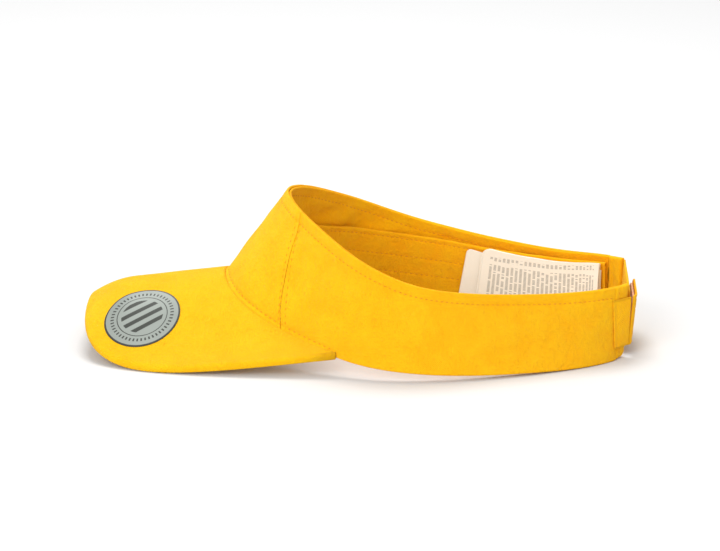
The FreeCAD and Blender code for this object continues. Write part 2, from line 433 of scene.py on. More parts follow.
@dataclass(frozen=True)
class CottonTwill:
    """Woven cotton with fine diagonal ridges."""

    name: str
    colour: tuple[float, float, float]
    shade: tuple[float, float, float]
    pitch: float = 0.00062
    relief: float = 0.00012
    lean: float = 0.9
    sheen: float = 0.04

    def make(self) -> bpy.types.Material:
        """Build the material."""
        n = Nodes(self.name)
        along, across = n.cloth_axes()
        turn = 2 * math.pi / self.pitch
        slant = n.value("ADD", n.value("MULTIPLY", along, turn * math.cos(self.lean)),
                        n.value("MULTIPLY", across, turn * math.sin(self.lean)))
        yarn = n.value("MULTIPLY", along, turn * 1.35)
        ridge = n.value("SINE", slant)
        grain = n.value("MULTIPLY_ADD", n.value("SINE", yarn), 0.35, ridge)
        slub = n.clouds(0.0016, 3.0, 0.65)
        height = n.value("MULTIPLY_ADD", slub, 4.5, grain)
        patches = n.clouds(0.012, 6.0, 0.72)
        broad = n.value("MULTIPLY_ADD", patches, 3.4, -1.2)
        colour = n.blend(broad, self.shade, self.colour)
        fine = n.value("MULTIPLY_ADD", n.clouds(0.0030, 6.0, 0.8), 3.2, -1.35)
        colour = n.blend(n.value("MULTIPLY", fine, 0.35), colour, self.shade)
        # Painted shade in the weave: the colour is darkened a little all over, and most where the
        # ridges' height is low, in the grooves.
        weave_groove_shade = n.value("MULTIPLY_ADD", grain, -0.06, 0.07)
        weave_groove_shade_colour = tuple(c * 0.72 for c in self.shade)
        colour = n.blend(weave_groove_shade, colour, weave_groove_shade_colour)
        soft = n.bump(fine, 0.35, 0.0004, n.bump(patches, 0.7, 0.0022))
        return n.dress(colour, n.bump(height, 0.7, self.relief, soft), 0.92, self.sheen)


@dataclass(frozen=True)
class SewingThread:
    """Twisted polyester thread."""

    name: str
    colour: tuple[float, float, float]

    def make(self) -> bpy.types.Material:
        """Build the material."""
        n = Nodes(self.name)
        twist = n.clouds(0.0004, 2.0)
        colour = n.blend(twist, tuple(c * 0.75 for c in self.colour), self.colour)
        return n.dress(colour, n.bump(twist, 0.5, 0.0001), 0.6, 0.1)


@dataclass(frozen=True)
class TapePile:
    """Closure tape: rows of tiny hooks, or a brushed loop pile."""

    name: str
    colour: tuple[float, float, float]
    shade: tuple[float, float, float]
    pitch: float
    brushed: bool

    def make(self) -> bpy.types.Material:
        """Build the material."""
        n = Nodes(self.name)
        along, across = n.cloth_axes()
        turn = 2 * math.pi / self.pitch
        if self.brushed:
            height = n.clouds(self.pitch, 5.0, 0.75)
        else:
            rows = n.value("SINE", n.value("MULTIPLY", along, turn))
            height = n.value("MULTIPLY", rows, n.value("SINE", n.value(
                "MULTIPLY", across, turn * 0.8)))
            height = n.value("MULTIPLY_ADD", height, 0.5, 0.5)
        # Painted shade: the tape's colour darkens towards the low points of its relief, between
        # the hooks and in the hollows of the pile.
        colour = n.blend(height, self.shade, self.colour)
        return n.dress(colour, n.bump(height, 0.9, 0.0005), 0.7, 0.2)


@dataclass(frozen=True)
class PrintedSatin:
    """Cream ribbon with columns of small dark dashes that spell nothing."""

    name: str
    width: float
    height: float
    printed: bool = True
    cream: tuple[float, float, float] = (0.92, 0.865, 0.74)
    ink: tuple[float, float, float] = (0.16, 0.145, 0.12)
    column: float = 0.0024
    dash: float = 0.00075

    def band(self, n: Nodes, value: object, low: float, high: float) -> object:
        """1 between two limits, else 0."""
        return n.value("MULTIPLY", n.value("GREATER_THAN", value, low),
                       n.value("LESS_THAN", value, high))

    def make(self) -> bpy.types.Material:
        """Build the material."""
        n = Nodes(self.name)
        along, across = n.cloth_axes()
        sheen = n.value("SINE", n.value("MULTIPLY", across, 2 * math.pi / 0.0004))
        tone = n.clouds(0.016, 3.0)
        colour = n.blend(tone, tuple(c * 0.93 for c in self.cream), self.cream)
        if self.printed:
            place = n.value("DIVIDE", along, self.column)
            line = n.value("FLOOR", place)
            inside = n.value("LESS_THAN", n.value("FRACT", place), 0.6)
            seed = n.add("ShaderNodeCombineXYZ")
            n.link(n.value("MULTIPLY", line, 7.31), seed.inputs[0])
            step = n.value("DIVIDE", across, self.dash)
            n.link(n.value("DIVIDE", n.value("FLOOR", step), 1.7), seed.inputs[1])
            words = n.add("ShaderNodeTexNoise")
            n.link(seed.outputs[0], words.inputs["Vector"])
            words.inputs["Scale"].default_value = 1.0
            words.inputs["Detail"].default_value = 1.0
            gaps = n.value("GREATER_THAN", n.value("FRACT", step), 0.3)
            dashes = n.value("MULTIPLY", gaps, n.value(
                "GREATER_THAN", words.outputs["Fac"], 0.42))
            block = self.band(n, across, 0.004, self.height - 0.0075)
            head = self.band(n, across, self.height - 0.0052, self.height - 0.0025)
            wide = self.band(n, along, 0.004, self.width - 0.0045)
            ink = n.value("MULTIPLY", n.value("MULTIPLY", inside, dashes), wide)
            ink = n.value("MULTIPLY", ink, n.value("ADD", block, head))
            colour = n.blend(n.value("MULTIPLY", ink, 0.62), colour, self.ink)
        wrinkle = n.bump(n.clouds(0.006, 3.0), 0.4, 0.0006)
        material = n.dress(colour, n.bump(sheen, 0.25, 0.00004, wrinkle), 0.42, 0.15)
        n.shader.inputs["Anisotropic"].default_value = 0.3
        return material


@dataclass(frozen=True)
class FoilPrint:
    """Silver foil with a dark rim and a plain ring-and-bars pattern."""

    name: str
    radius: float
    silver: tuple[float, float, float] = (0.26, 0.285, 0.26)
    dark: tuple[float, float, float] = (0.045, 0.048, 0.042)

    def make(self) -> bpy.types.Material:
        """Build the material."""
        n = Nodes(self.name)
        x, y = n.cloth_axes()
        distance = n.value("SQRT", n.value("ADD", n.value("MULTIPLY", x, x),
                                           n.value("MULTIPLY", y, y)))
        share = n.value("DIVIDE", distance, self.radius)
        angle = n.value("ARCTAN2", y, x)
        rim = n.value("GREATER_THAN", share, 0.955)
        ring = n.value("LESS_THAN", n.value("ABSOLUTE", n.value(
            "SUBTRACT", share, 0.66)), 0.012)
        ticks = n.value("GREATER_THAN", n.value("SINE", n.value(
            "MULTIPLY", angle, 48.0)), 0.25)
        tick_ring = n.value("LESS_THAN", n.value("ABSOLUTE", n.value(
            "SUBTRACT", share, 0.79)), 0.045)
        ticks = n.value("MULTIPLY", ticks, tick_ring)
        slant = n.value("ADD", n.value("MULTIPLY", x, math.cos(0.5)),
                        n.value("MULTIPLY", y, math.sin(0.5)))
        bars = n.value("GREATER_THAN", n.value("SINE", n.value(
            "MULTIPLY", slant, 2 * math.pi / 0.0052)), 0.1)
        bars = n.value("MULTIPLY", bars, n.value("LESS_THAN", share, 0.55))
        ink = n.value("MAXIMUM", n.value("MAXIMUM", rim, ring),
                      n.value("MAXIMUM", ticks, bars))
        brushed = n.clouds(0.02, 3.0)
        silver = n.blend(brushed, tuple(c * 0.82 for c in self.silver), self.silver)
        colour = n.blend(ink, silver, self.dark)
        scuff = n.clouds(0.0008, 3.0)
        material = n.dress(colour, n.bump(scuff, 0.2, 0.00004), 0.38)
        n.shader.inputs["Metallic"].default_value = 0.15
        n.shader.inputs["Coat Weight"].default_value = 0.1
        n.shader.inputs["Coat Roughness"].default_value = 0.2
        return material


@dataclass(frozen=True)
class PlainSheet:
    """Hidden stiffener or board, with a faint grain."""

    name: str
    colour: tuple[float, float, float]
    grain: float = 0.0009

    def make(self) -> bpy.types.Material:
        """Build the material."""
        n = Nodes(self.name)
        spots = n.clouds(self.grain, 3.0)
        colour = n.blend(spots, tuple(c * 0.88 for c in self.colour), self.colour)
        return n.dress(colour, n.bump(spots, 0.4, 0.0002), 0.7)


class Finishes:
    """All the materials, made once."""

    def __init__(self) -> None:
        """Mix every finish the visor uses."""
        self.band = CottonTwill("golden_twill", (0.97, 0.53, 0.006), (0.97, 0.45, 0.003)).make()
        # The brim's copy of the golden twill is set darker than the band's: painted shade that
        # offsets the stronger light on the brim's upward face.
        self.brim = CottonTwill("brim_twill", (0.88, 0.51, 0.006), (0.88, 0.45, 0.003),
                                lean=-0.7).make()
        # The lining's and the sweatband's copies are set lighter than the outer twill: partly
        # their own deeper orange, partly painted light that offsets the shade inside the band.
        self.lining = CottonTwill("lining_cotton", (1.0, 0.50, 0.002), (1.0, 0.435, 0.001),
                                  pitch=0.0005, lean=1.2, sheen=0.03).make()
        self.sweat = CottonTwill("sweatband_twill", (1.0, 0.50, 0.004), (1.0, 0.43, 0.002),
                                 pitch=0.0007, lean=0.5, sheen=0.03).make()
        # The thread is set darker than the cloth: partly its own colour, partly painted shade for
        # the shadow between the stitches.
        self.thread = SewingThread("yellow_thread", (0.88, 0.33, 0.003)).make()
        self.hooks = TapePile("hook_pile", (0.96, 0.66, 0.46), (0.80, 0.42, 0.24),
                              0.0016, False).make()
        self.loops = TapePile("loop_pile", (1.0, 0.60, 0.03), (0.86, 0.42, 0.01),
                              0.0009, True).make()
        self.board = PlainSheet("brim_board_sheet", (0.85, 0.85, 0.82)).make()
        self.buckram = PlainSheet("buckram_mesh", (0.88, 0.86, 0.80), 0.0013).make()


# ---- making cloth -------------------------------------------------------------
@dataclass(frozen=True)
class Row:
    """One row of a cloth's cross-section: share of the slant line, offset, depth."""

    share: float
    offset: float
    depth: float

    def height(self, length: float) -> float:
        """Height up a slant line of a given length."""
        return self.share * length + self.offset


@dataclass(frozen=True)
class CrossSection:
    """Cloth turned in at its lower and upper edges."""

    face: float
    behind: float
    low: float = 0.0
    low_turn: float = 4.0
    top_turn: float = 3.0
    margin: float = 8.8
    fine: float = 0.55
    middle: int = 15

    def rows(self) -> list[Row]:
        """Rows from the lower turn-in, round the face, to the upper turn-in."""
        half = abs(self.behind - self.face) / 2
        centre = (self.face + self.behind) / 2
        rows = [Row(0, self.low + self.low_turn, self.behind),
                Row(0, self.low + self.low_turn / 2, self.behind)]
        for i in range(FOLD_STEPS + 1):
            angle = math.pi * i / FOLD_STEPS
            rows.append(Row(0, self.low + half - half * math.sin(angle),
                            centre + (self.behind - centre) * math.cos(angle)))
        count = int(self.margin / self.fine)
        rows += [Row(0, self.low + half + self.fine * i, self.face)
                 for i in range(1, count)]
        low_end = self.low + half + self.fine * count
        top_end = half + self.fine * count
        for i in range(self.middle + 1):
            share = i / self.middle
            rows.append(Row(share, low_end * (1 - share) - top_end * share, self.face))
        rows += [Row(1, -half - self.fine * i, self.face)
                 for i in range(count - 1, 0, -1)]
        for i in range(FOLD_STEPS + 1):
            angle = math.pi * i / FOLD_STEPS
            rows.append(Row(1, -half + half * math.sin(angle),
                            centre + (self.face - centre) * math.cos(angle)))
        rows += [Row(1, -self.top_turn / 2, self.behind), Row(1, -self.top_turn, self.behind)]
        return rows


def ease_ends(u: float, share: float = 0.06, reach: float = 0.008) -> float:
    """Crowd columns near both ends of a strip.

    Args:
        u: even place along the strip, 0 to 1.
        share: share of the columns that go to each end.
        reach: share of the length that each end's columns cover.

    Returns:
        The crowded place, 0 to 1.
    """
    if u > 0.5:
        return 1.0 - ease_ends(1.0 - u, share, reach)
    if u < share:
        return reach * u / share
    return reach + (0.5 - reach) * (u - share) / (0.5 - share)


def roll(distance: float, radius: float) -> float:
    """How far a rounded edge has dropped at a distance from its end."""
    if distance >= radius:
        return 0.0
    part = 1.0 - max(distance, 0.0) / radius
    return radius * (1.0 - math.sqrt(max(1.0 - part * part, 0.0)))


def pinch(distance: float, half_width: float) -> float:
    """Depth share of the groove that a row of stitches pulls into cloth."""
    part = abs(distance) / half_width
    return (1.0 - part * part) ** 2 if part < 1.0 else 0.0


def swell(border: float, half: float) -> float:
    """Half thickness of a cloth whose border is rounded to a given half."""
    return half * math.sqrt(max(0.0, 1 - (1 - min(border / half, 1.0)) ** 2))


def soft_noise(a: float, b: float, seed: float) -> float:
    """Smooth noise from -1 to 1 over two lengths."""
    return noise.noise(Vector((a, b, seed)))


class Cloth:
    """Turns a flat grid into a piece of cloth and finishes it."""

    def __init__(self, finishes: Finishes) -> None:
        """Keep the shared finishes."""
        self.finishes = finishes

    def finish(self, name: str, mesh: bmesh.types.BMesh, material: bpy.types.Material,
               slot: str, thickness: float = 0.0) -> bpy.types.Object:
        """Close doubles and make a mesh the visor's own piece.

        Args:
            name: the piece's name.
            mesh: the shaped mesh, in metres in the frame.
            material: its finish.
            slot: not used.
            thickness: cloth thickness in metres, grown inwards, or 0.

        Returns:
            The piece.
        """
        bmesh.ops.remove_doubles(mesh, verts=mesh.verts, dist=1e-6)
        data = bpy.data.meshes.new(name)
        mesh.to_mesh(data)
        mesh.free()
        data.materials.append(material)
        data.shade_smooth()
        piece = bpy.data.objects.new(name, data)
        bpy.context.scene.collection.objects.link(piece)
        if thickness:
            wall = piece.modifiers.new("cloth_thickness", "SOLIDIFY")
            wall.thickness = thickness
            wall.offset = -1.0
            wall.use_even_offset = False
        log.info("%s: %d faces", name, len(data.polygons))
        return piece

    def sheet(self, columns: int, rows: int, place: Place, flat: Place) -> bmesh.types.BMesh:
        """Shape a grid.

        Args:
            columns: faces along.
            rows: faces across.
            place: where a point of the unit square goes, in metres.
            flat: its place on the flat cloth, in metres.

        Returns:
            The mesh with its cloth coordinates.
        """
        mesh = bmesh.new()
        bmesh.ops.create_grid(mesh, x_segments=columns, y_segments=rows, size=0.5)
        weave = mesh.loops.layers.uv.new(WEAVE)
        squares = {v: (v.co.x + 0.5, v.co.y + 0.5) for v in mesh.verts}
        spots = {v: flat(*uv) for v, uv in squares.items()}
        for vert, uv in squares.items():
            vert.co = place(*uv)
        for face in mesh.faces:
            for loop in face.loops:
                loop[weave].uv = spots[loop.vert].xy
        return mesh

    def slab(self, columns: int, rows: int, place: Callable[[float, float, float], Vector],
             flat: Place) -> bmesh.types.BMesh:
        """Closed cloth of two faces that meet round a folded edge.

        Args:
            columns: faces along.
            rows: faces across.
            place: where a point goes, from its unit place and 1 front or -1 back.
            flat: its place on the flat cloth, in metres.

        Returns:
            The mesh with its cloth coordinates.
        """
        front = self.sheet(columns, rows, lambda u, v: place(u, v, 1.0), flat)
        back = self.sheet(columns, rows, lambda u, v: place(1.0 - u, v, -1.0),
                          lambda u, v: flat(1.0 - u, v))
        other = bpy.data.meshes.new("back_face")
        back.to_mesh(other)
        back.free()
        front.from_mesh(other)
        bpy.data.meshes.remove(other)
        bmesh.ops.remove_doubles(front, verts=front.verts, dist=2e-6)
        return front

    def sew_rows(self, name: str, rows: Sequence[StitchRow]) -> bpy.types.Object:
        """Join rows of stitches into one piece."""
        mesh = bmesh.new()
        for row in rows:
            row.sew(mesh)
        return self.finish(name, mesh, self.finishes.thread, "twill")


@dataclass(frozen=True)
class StitchRow:
    """A row of lockstitches that follows a line on the cloth."""

    line: ThreadLine
    length: float
    pitch: float = 2.8
    stitch: float = 1.55
    width: float = 0.6
    sway: float = 0.06

    def sew(self, mesh: bmesh.types.BMesh) -> None:
        """Add the row's stitches to a mesh.

        Args:
            mesh: the mesh that takes the stitches.
        """
        count = max(int(self.length / self.pitch), 1)
        step = 0.5 * self.stitch / self.length
        for i in range(count):
            share = (i + 0.5) / count
            middle, normal = self.line(share)
            ahead = self.line(min(share + step, 1.0))[0] - self.line(max(share - step, 0.0))[0]
            along = ahead.normalized()
            across = normal.cross(along).normalized()
            rise = along.cross(across)
            axes = Matrix((rise * self.width / 2.4, across * self.width / 2,
                           along * -self.stitch / 2))
            aside = self.sway * math.sin(i * 12.9898) * MM
            bmesh.ops.create_uvsphere(
                mesh, u_segments=6, v_segments=4, radius=1.0,
                matrix=Matrix.Translation(middle + across * aside)
                @ (axes.transposed() * MM).to_4x4())


@dataclass(frozen=True)
class Hinge:
    """Where the band's cloth bends as an arm swings, in metres."""

    side: Side
    x: float = 0.0674
    first_y: float = -0.0125
    last_y: float = 0.0130
    z: float = 0.02

    def bend(self, piece: bpy.types.Object) -> None:
        """Bake a piece's placement into its mesh."""
        self.side.word + "_arm"
        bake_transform(piece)


# ---- head band -----------------------------------------------------------------
@dataclass
class HeadBand:
    """Outer panels, lining, sweatband, end hems and their stitching."""

    surface: BandSurface
    cloth: Cloth
    outer: CrossSection = field(default_factory=lambda: CrossSection(0.0, 1.35))
    inner: CrossSection = field(default_factory=lambda: CrossSection(
        2.9, 1.65, low=1.0, low_turn=3.0))
    hem_tuck: float = 0.035
    seam_gap: float = 0.004
    top_stitch: float = 5.2
    brim_stitch: float = 3.0
    brim_row_end: float = 4.5
    seam_row_length: float = 40.0
    hem_row_length: float = 33.0
    seam_scale: float = 18.6
    seam_grooves: tuple[float, float] = (-1.9, 2.3)
    sweat_face: float = 4.9
    sweat_height: float = 35.0
    sweat_rise: float = 1.0
    sweat_rows: tuple[float, ...] = (2.6, 12.6, 22.6)

    # shape of the cloth ------------------------------------------------------
    def relief(self, station: float, height: float, length: float) -> float:
        """Depth that soft waves and the rows of stitches add to every layer.

        Args:
            station: place round the band.
            height: distance up the slant line, in millimetres.
            length: the slant line's length.

        Returns:
            The added depth in millimetres.
        """
        along = self.surface.along(station)
        wave = 0.50 * soft_noise(along / 24, height / 17, 3.1)
        small = 0.20 * soft_noise(along / 7, height / 8, 9.7)
        fade = min(1.0, height / 5, (length - height) / 5)
        return (wave + small) * max(fade, 0.15)

    def outer_depth(self, station: float, height: float, length: float) -> float:
        """Depth of the outer face of the twill, with its stitch grooves."""
        along = self.surface.along(station)
        below_top = length - height
        depth = self.relief(station, height, length)
        pucker = 0.10 * soft_noise(along / 2.6, 0.0, 5.5)
        depth += (0.30 + pucker) * pinch(below_top - self.top_stitch, 1.25)
        ripple = 0.16 * soft_noise(along / 3.4, 1.0, 6.5)
        depth += ripple * pinch(below_top - self.top_stitch, 4.5)
        if abs(station) < self.brim_row_end + 0.1:
            depth += (0.34 + pucker) * pinch(height - self.brim_stitch, 1.25)
            depth -= 0.35 * pinch(height - 1.2, 2.0)
        seam = self.surface.seam(height / length)
        apart = (abs(station) - seam) * self.seam_scale
        for beside in self.seam_grooves:
            depth += 0.24 * pinch(apart - beside, 1.2)
        return depth

    def lining_depth(self, station: float, height: float, length: float) -> float:
        """Depth of the lining's face: it wrinkles where it is not held."""
        along = self.surface.along(station)
        depth = self.relief(station, height, length)
        depth -= 0.25 * pinch(length - height - self.top_stitch, 1.3)
        loose = min(1.0, max(0.0, (length - height - 3.0) / 7.0))
        crease = soft_noise((along + 1.1 * height) / 10.5, (height - 0.3 * along) / 24, 2.2)
        fold = soft_noise((along - 0.8 * height) / 6.0, height / 14, 8.8)
        depth += loose * (1.6 * crease + 0.6 * fold + 0.5)
        return depth

    def strip(self, name: str, start: Boundary, end: Boundary, rows: list[Row],
              columns: int, depth_of: Callable[[float, float, float], float],
              finish: bpy.types.Material, slot: str,
              rolled: tuple[float, float] = (0.2, 0.2),
              top_of: Callable[[float], float] | None = None) -> bpy.types.Object:
        """Strip of cloth on the band between two boundaries.

        Args:
            name: the piece's name.
            start: station of its first end at a share of the height.
            end: station of its other end.
            rows: its cross-section.
            columns: faces along it.
            depth_of: added depth at a station, height and length.
            finish: its material.
            slot: not used.
            rolled: radius of each end's fold in millimetres, 0 for a raw end.
            top_of: station to the height of the cloth's top, or None for the band's.

        Returns:
            The piece.
        """
        count = len(rows) - 1
        laid = [0.0]
        for a, b in zip(rows, rows[1:]):
            laid.append(laid[-1] + math.hypot(b.height(MID_LENGTH) - a.height(MID_LENGTH),
                                              b.depth - a.depth))

        def station_at(u: float, v: float) -> float:
            """Station of a point of the unit square."""
            row = rows[round(v * count)]
            share = min(max(row.height(MID_LENGTH) / MID_LENGTH, 0.0), 1.0)
            return start(share) + (end(share) - start(share)) * ease_ends(u)

        def place(u: float, v: float) -> Vector:
            """Point of the cloth."""
            row = rows[round(v * count)]
            station = station_at(u, v)
            length = self.surface.ruling(station)[2]
            reach = length if top_of is None else top_of(station)
            height = row.height(reach)
            share = min(max(row.height(MID_LENGTH) / MID_LENGTH, 0.0), 1.0)
            here = self.surface.along(station)
            ends = (abs(here - self.surface.along(start(share))),
                    abs(self.surface.along(end(share)) - here))
            depth = row.depth + depth_of(station, height, length)
            for distance, radius in zip(ends, rolled):
                if radius:
                    depth += roll(distance, radius)
            return self.surface.point(station, height, depth)

        def flat(u: float, v: float) -> Vector:
            """Place on the flat cloth."""
            return Vector((self.surface.along(station_at(u, v)), laid[round(v * count)], 0)) * MM

        mesh = self.cloth.sheet(columns, count, place, flat)
        return self.cloth.finish(name, mesh, finish, slot, CLOTH_WALL * MM)

    def half(self, side: Side) -> tuple[Boundary, Boundary]:
        """Boundaries of an inner layer, from centre front into the end hem."""
        last = self.surface.hem_start + self.hem_tuck
        if side is Side.LEFT:
            return (lambda s: 0.0), (lambda s: last)
        return (lambda s: -last), (lambda s: 0.0)

    # outer twill ----------------------------------------------------------------
    def build_front_panel(self) -> None:
        """Front panel, held to the side panels by two seams."""
        seam, gap = self.surface.seam, self.seam_gap
        panel = self.strip("front_panel_twill", lambda s: -(seam(s) - gap),
                           lambda s: seam(s) - gap, self.outer.rows(), 110,
                           self.outer_depth, self.cloth.finishes.band, "twill")
        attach(panel, "front")
        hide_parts("front_panel")

    def build_side_panel(self, side: Side) -> None:
        """Side panel, from the front seam to the end hem.

        Args:
            side: which side.
        """
        seam, gap = self.surface.seam, self.seam_gap
        last = self.surface.hem_start + self.hem_tuck
        start, end, rolled = (lambda s: seam(s) + gap), (lambda s: last), (0.2, 0.9)
        if side is Side.RIGHT:
            start, end, rolled = (lambda s: -last), (lambda s: -(seam(s) + gap)), (0.9, 0.2)
        panel = self.strip("side_panel_%s_twill" % side.word, start, end,
                           self.outer.rows(), 150, self.outer_depth,
                           self.cloth.finishes.band, "twill", rolled)
        Hinge(side).bend(panel)
        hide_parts("side_panel_%s_fore" % side.word, "side_panel_%s" % side.word)
        "side_lining_%s_cotton" % side.word

    # inside -----------------------------------------------------------------------
    def build_lining(self, side: Side) -> None:
        """Half of the lining, from centre front to the end hem.

        Args:
            side: which side.
        """
        lining = self.strip("side_lining_%s_cotton" % side.word, *self.half(side),
                            self.inner.rows()[::-1], 170, self.lining_depth,
                            self.cloth.finishes.lining, "lining", (0.0, 0.0))
        Hinge(side).bend(lining)
        nodes = ["side_lining_" + side.word]
        if side is Side.LEFT:
            nodes.append("front_lining")
        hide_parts(*nodes)

    def sweat_top(self, station: float) -> float:
        """Height of the sweatband's free edge."""
        length = self.surface.ruling(station)[2]
        return length - max(2.5, length - self.sweat_height - self.sweat_rise)

    def sweat_depth(self, station: float, height: float, length: float) -> float:
        """How far the sweatband leans into the head opening."""
        top = self.sweat_top(station)
        share = min(max((height - self.sweat_rise) / (top - self.sweat_rise), 0.0), 1.0)
        along = self.surface.along(station)
        sway = 0.45 * soft_noise(along / 30, 0.5, 4.4) * share
        grooves = sum(pinch(top - height - row, 1.1) for row in self.sweat_rows)
        pucker = 0.14 * soft_noise(along / 3.0, height / 6, 7.7)
        depth = 1.3 * share + sway * 0.6 + self.relief(station, height, length)
        return depth - 0.24 * grooves + pucker * min(share * 2, 1.0)

    def build_sweatband(self, side: Side) -> None:
        """Half of the sweatband, from centre front to the end hem.

        Args:
            side: which side.
        """
        section = CrossSection(self.sweat_face, 3.3, low=self.sweat_rise, low_turn=20.0,
                               top_turn=16.0, margin=4.0, fine=0.5, middle=36)
        band = self.strip("sweatband_%s_twill" % side.word, *self.half(side),
                          section.rows()[::-1], 170, self.sweat_depth,
                          self.cloth.finishes.sweat, "sweatband", (0.0, 0.0), self.sweat_top)
        Hinge(side).bend(band)
        nodes = ["sweatband_" + side.word]
        if side is Side.LEFT:
            nodes.append("sweatband_front")
        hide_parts(*nodes)
        "side_lining_%s_cotton" % side.word

    # end hems -----------------------------------------------------------------------
    def build_hem(self, side: Side) -> None:
        """Folded end of an arm, its lower corner rounded.

        Args:
            side: which side.
        """
        first, last = self.surface.hem_start, self.surface.arm_end
        wide = self.surface.along(last) - self.surface.along(first)
        middle, corner, rise = 1.45, 4.6, 0.25
        sign = side.value

        def spot(u: float, v: float) -> tuple[float, float, float, float]:
            """Station, height, distance from the border and slant length."""
            if side is Side.RIGHT:
                u = 1.0 - u
            share = ease_ends(u, 0.22, 0.09)
            station = first + (last - first) * share
            length = self.surface.ruling(sign * station)[2]
            out = wide * (1.0 - share)
            low = rise + roll(out, corner)
            height = low + (length - low) * ease_ends(v, 0.2, 0.035)
            border = min(out, wide * share, height - low, length - height)
            return sign * station, height, border, length

        def place(u: float, v: float, face: float) -> Vector:
            """Point of the hem's outer or inner face."""
            station, height, border, length = spot(u, v)
            half = swell(border, middle)
            pull = 0.3 * pinch((self.surface.along(last) - abs(self.surface.along(station)))
                               - 5.6, 1.2)
            return self.surface.point(station, height, middle - face * (half - pull)
                                      + self.relief(station, height, length) * 0.5)

        def flat(u: float, v: float) -> Vector:
            """Place on the flat cloth."""
            station, height, _, _ = spot(u, v)
            return Vector((self.surface.along(station), height, 0)) * MM

        mesh = self.cloth.slab(22, 44, place, flat)
        hem = self.cloth.finish("end_hem_%s_fold" % side.word, mesh,
                                self.cloth.finishes.band, "twill")
        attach(hem, side.word + "_arm")
        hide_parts("end_hem_" + side.word)
        "side_panel_%s_twill" % side.word

    # stitching ------------------------------------------------------------------------
    def line_on_outer(self, first: float, last: float,
                      height_of: Callable[[float, float], float]) -> ThreadLine:
        """Line on the outer twill for a row of stitches.

        Args:
            first: station where it starts.
            last: station where it ends.
            height_of: share along the line and slant length to a height.

        Returns:
            A function from share to point and outward direction.
        """
        def line(share: float) -> tuple[Vector, Vector]:
            """Point and normal."""
            station = first + (last - first) * share
            length = self.surface.ruling(station)[2]
            height = height_of(share, length)
            depth = self.outer_depth(station, height, length) - THREAD_LIFT
            return self.surface.thread_spot(station, height, depth)
        return line

    def span(self, first: float, last: float) -> float:
        """Length in millimetres between two stations."""
        return abs(self.surface.along(last) - self.surface.along(first))

    def build_front_stitches(self) -> None:
        """Rows that stay with the front panel."""
        top, low = self.surface.seam_top - 0.12, self.surface.seam_low - 0.05
        rows = [
            StitchRow(self.line_on_outer(-top, top, lambda s, l: l - self.top_stitch),
                      self.span(-top, top)),
            StitchRow(self.line_on_outer(-low, low, lambda s, l: self.brim_stitch),
                      self.span(-low, low)),
        ]
        for sign in (-1, 1):
            rows.append(self.seam_row(sign, -0.10))
        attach(self.cloth.sew_rows("front_panel_stitches", rows), "front")

    def seam_row(self, sign: int, beside: float) -> StitchRow:
        """Row beside a panel seam.

        Args:
            sign: 1 left, -1 right.
            beside: stations from the seam, negative on the front panel.

        Returns:
            The row.
        """
        def line(share: float) -> tuple[Vector, Vector]:
            """Point and normal."""
            part = 0.06 + 0.82 * share
            station = sign * (self.surface.seam(part) + beside)
            length = self.surface.ruling(station)[2]
            depth = self.outer_depth(station, part * length, length) - THREAD_LIFT
            return self.surface.thread_spot(station, part * length, depth)
        return StitchRow(line, self.seam_row_length)

    def build_side_stitches(self, side: Side) -> None:
        """Rows on a side panel.

        Args:
            side: which side.
        """
        sign = side.value
        top, low, last = self.surface.seam_top + 0.12, self.surface.seam_low + 0.1, 12.28
        rows = [
            StitchRow(self.line_on_outer(sign * top, sign * last,
                                         lambda s, l: l - self.top_stitch),
                      self.span(top, last)),
            StitchRow(self.line_on_outer(sign * low, sign * self.brim_row_end,
                                         lambda s, l: self.brim_stitch),
                      self.span(low, self.brim_row_end)),
            self.seam_row(sign, 0.12),
        ]
        stitches = self.cloth.sew_rows("side_panel_%s_stitches" % side.word, rows)
        Hinge(side).bend(stitches)

    def build_inner_stitches(self, side: Side) -> None:
        """Three rows along the sweatband and the row through the lining.

        Args:
            side: which side.
        """
        sign = side.value
        last = self.surface.hem_start - 0.1
        rows = []
        for below in self.sweat_rows:
            def line(share: float, below: float = below) -> tuple[Vector, Vector]:
                """Point and normal."""
                station = sign * last * share
                length = self.surface.ruling(station)[2]
                height = self.sweat_top(station) - below
                depth = (self.sweat_face + self.sweat_depth(station, height, length)
                         + THREAD_LIFT)
                return self.surface.thread_spot(station, height, depth, -1)
            rows.append(StitchRow(line, self.span(0, last)))

        def upper(share: float) -> tuple[Vector, Vector]:
            """Point and normal of the row below the top edge."""
            station = sign * last * share
            length = self.surface.ruling(station)[2]
            height = length - self.top_stitch
            depth = self.inner.face + self.lining_depth(station, height, length) + THREAD_LIFT
            return self.surface.thread_spot(station, height, depth, -1)
        rows.append(StitchRow(upper, self.span(0, last)))
        stitches = self.cloth.sew_rows("sweatband_%s_stitches" % side.word, rows)
        Hinge(side).bend(stitches)

    def build_hem_stitches(self, side: Side) -> None:
        """Row up the end hem.

        Args:
            side: which side.
        """
        station = side.value * (self.surface.hem_start + 0.19)

        def line(share: float) -> tuple[Vector, Vector]:
            """Point and normal."""
            length = self.surface.ruling(station)[2]
            height = 2.5 + (length - 4.5) * share
            depth = self.relief(station, height, length) * 0.5 + 0.05
            return self.surface.thread_spot(station, height, depth)
        row = StitchRow(line, self.hem_row_length)
        stitches = self.cloth.sew_rows("end_hem_%s_stitches" % side.word, [row])
        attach(stitches, side.word + "_arm")

    def build(self) -> None:
        """Build the whole band."""
        self.build_front_panel()
        self.build_front_stitches()
        for side in Side:
            self.build_lining(side)
            self.build_side_panel(side)
            self.build_sweatband(side)
            self.build_hem(side)
            self.build_side_stitches(side)
            self.build_inner_stitches(side)
            self.build_hem_stitches(side)


